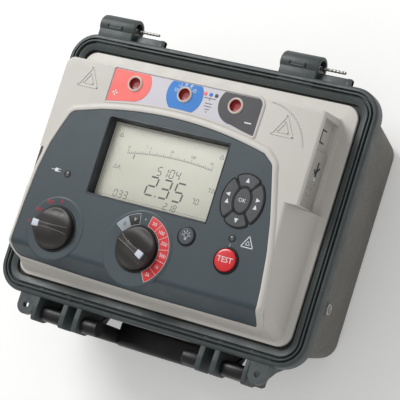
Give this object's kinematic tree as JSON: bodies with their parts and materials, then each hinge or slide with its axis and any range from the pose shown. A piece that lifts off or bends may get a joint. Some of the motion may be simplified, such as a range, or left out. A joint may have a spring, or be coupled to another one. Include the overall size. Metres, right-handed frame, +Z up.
{
  "type": "insulation resistance tester",
  "caption": "Portable insulation resistance tester: raised instrument panel with display, rotary knobs, keys and shuttered lead terminals in an open rugged carry case.",
  "frame": {"origin": "on the floor under the centre of the case, on the plane the feet stand on", "axes": "+X to the user's right along the panel, +Y away from the user to the lid hinges, +Z up"},
  "size_m": [0.315, 0.291, 0.1522],
  "materials": {
    "case_plastic": "moulded dark slate polypropylene, fine texture",
    "panel_plastic": "light warm grey moulding",
    "fascia": "dark slate printed film",
    "display_black": "dark funnel round the display",
    "window": "clear window",
    "lcd": "reflective liquid crystal panel",
    "black_rubber": "black rubber",
    "black_plastic": "black moulding",
    "knob_plastic": "brown-black knob",
    "key_rubber": "dark grey key rubber",
    "white_plastic": "off-white",
    "strip_white": "pale label film",
    "label_red": "salmon red print",
    "label_blue": "blue print",
    "label_dark": "dark grey print",
    "test_red": "red push button",
    "shutter_red": "deep red shutter",
    "steel": "turned steel",
    "brass": "plated brass",
    "aluminium": "pressed shell",
    "board_green": "circuit board",
    "lamp_clear": "tinted lamp",
    "potting": "potted block",
    "battery_wrap": "battery wrap",
    "iron": "laminated core",
    "winding": "copper winding in tape"
  },
  "bodies": {
    "tester": {"case_shell": "case_plastic", "rubber_feet": "black_rubber", "case_screws": "steel", "panel_seal": "black_rubber", "vent_valve": "black_plastic", "hinge_pins": "steel", "latch_pins": "steel", "handle_pins": "steel", "instrument_panel": "panel_plastic", "fascia_overlay": "fascia", "display_frame": "display_black", "usb_socket": "aluminium", "display_window": "window", "lcd_module": "lcd", "display_board": "board_green", "mode_switch": "black_plastic", "mode_knob_seal": "black_rubber", "range_switch": "black_plastic", "range_knob_seal": "black_rubber", "button_rings": "black_plastic", "keypad_mat": "black_rubber", "keypad_board": "board_green", "power_lamp": "lamp_clear", "high_voltage_lamp": "lamp_clear", "label_strip": "strip_white", "positive_label": "label_red", "guard_label": "label_blue", "negative_label": "label_dark", "terminal_collars": "white_plastic", "terminal_sockets": "brass", "terminal_block": "black_plastic", "main_board": "board_green", "board_pillars": "white_plastic", "mains_inlet": "black_plastic", "inlet_pins": "brass", "battery_pack": "battery_wrap", "battery_strap": "steel", "high_voltage_module": "potting", "transformer_core": "iron", "transformer_winding": "winding", "high_voltage_relays": "potting", "buzzer": "black_plastic"},
    "carry_handle": {"carry_handle": "black_plastic"},
    "left_latch": {"left_latch": "black_plastic"},
    "right_latch": {"right_latch": "black_plastic"},
    "mode_knob": {"mode_knob": "knob_plastic", "mode_knob_pointer": "white_plastic", "mode_knob_shaft": "steel"},
    "range_knob": {"range_knob": "knob_plastic", "range_knob_pointer": "white_plastic", "range_knob_shaft": "steel"},
    "up_key": {"up_key": "key_rubber"},
    "down_key": {"down_key": "key_rubber"},
    "left_key": {"left_key": "key_rubber"},
    "right_key": {"right_key": "key_rubber"},
    "ok_key": {"ok_key": "key_rubber"},
    "backlight_key": {"backlight_key": "key_rubber"},
    "test_button": {"test_button": "test_red"},
    "shutter_slider": {"shutter_slider": "panel_plastic"},
    "shutter_plate": {"shutter_plate": "shutter_red"}
  },
  "joints": [
    {"name": "handle_swing", "type": "hinge", "parent": "tester", "child": "carry_handle", "pos_m": [0, -0.1365, 0.092], "axis": [1, 0, 0], "range_deg": [-105, 0]},
    {"name": "left_latch_swing", "type": "hinge", "parent": "tester", "child": "left_latch", "pos_m": [-0.09425, -0.1365, 0.09], "axis": [1, 0, 0], "range_deg": [-95, 0]},
    {"name": "right_latch_swing", "type": "hinge", "parent": "tester", "child": "right_latch", "pos_m": [0.09425, -0.1365, 0.09], "axis": [1, 0, 0], "range_deg": [-95, 0]},
    {"name": "mode_knob_turn", "type": "hinge", "parent": "tester", "child": "mode_knob", "pos_m": [-0.093, -0.0635, 0.138], "axis": [0, 0, 1], "range_deg": [-90, 0]},
    {"name": "range_knob_turn", "type": "hinge", "parent": "tester", "child": "range_knob", "pos_m": [-0.007, -0.0615, 0.138], "axis": [0, 0, 1], "range_deg": [0, 180]},
    {"name": "up_key_press", "type": "slide", "parent": "tester", "child": "up_key", "axis": [0, 0, -1], "range_m": [0, 0.0008], "stiffness_N_per_m": 400, "springref_m": -0.0002},
    {"name": "down_key_press", "type": "slide", "parent": "tester", "child": "down_key", "axis": [0, 0, -1], "range_m": [0, 0.0008], "stiffness_N_per_m": 400, "springref_m": -0.0002},
    {"name": "left_key_press", "type": "slide", "parent": "tester", "child": "left_key", "axis": [0, 0, -1], "range_m": [0, 0.0008], "stiffness_N_per_m": 400, "springref_m": -0.0002},
    {"name": "right_key_press", "type": "slide", "parent": "tester", "child": "right_key", "axis": [0, 0, -1], "range_m": [0, 0.0008], "stiffness_N_per_m": 400, "springref_m": -0.0002},
    {"name": "ok_key_press", "type": "slide", "parent": "tester", "child": "ok_key", "axis": [0, 0, -1], "range_m": [0, 0.0008], "stiffness_N_per_m": 400, "springref_m": -0.0002},
    {"name": "backlight_key_press", "type": "slide", "parent": "tester", "child": "backlight_key", "axis": [0, 0, -1], "range_m": [0, 0.0008], "stiffness_N_per_m": 400, "springref_m": -0.0002},
    {"name": "test_button_press", "type": "slide", "parent": "tester", "child": "test_button", "axis": [0, 0, -1], "range_m": [0, 0.0008], "stiffness_N_per_m": 600, "springref_m": -0.0002},
    {"name": "shutter_slide", "type": "slide", "parent": "tester", "child": "shutter_slider", "axis": [0, 1, 0], "range_m": [0, 0.03]},
    {"name": "shutter_plate_slide", "type": "slide", "parent": "tester", "child": "shutter_plate", "axis": [-1, 0, 0], "range_m": [0, 0.0135]}
  ],
  "couplings": [
    {"joint": "shutter_plate_slide", "follows": "shutter_slide", "ratio": 0.45}
  ]
}
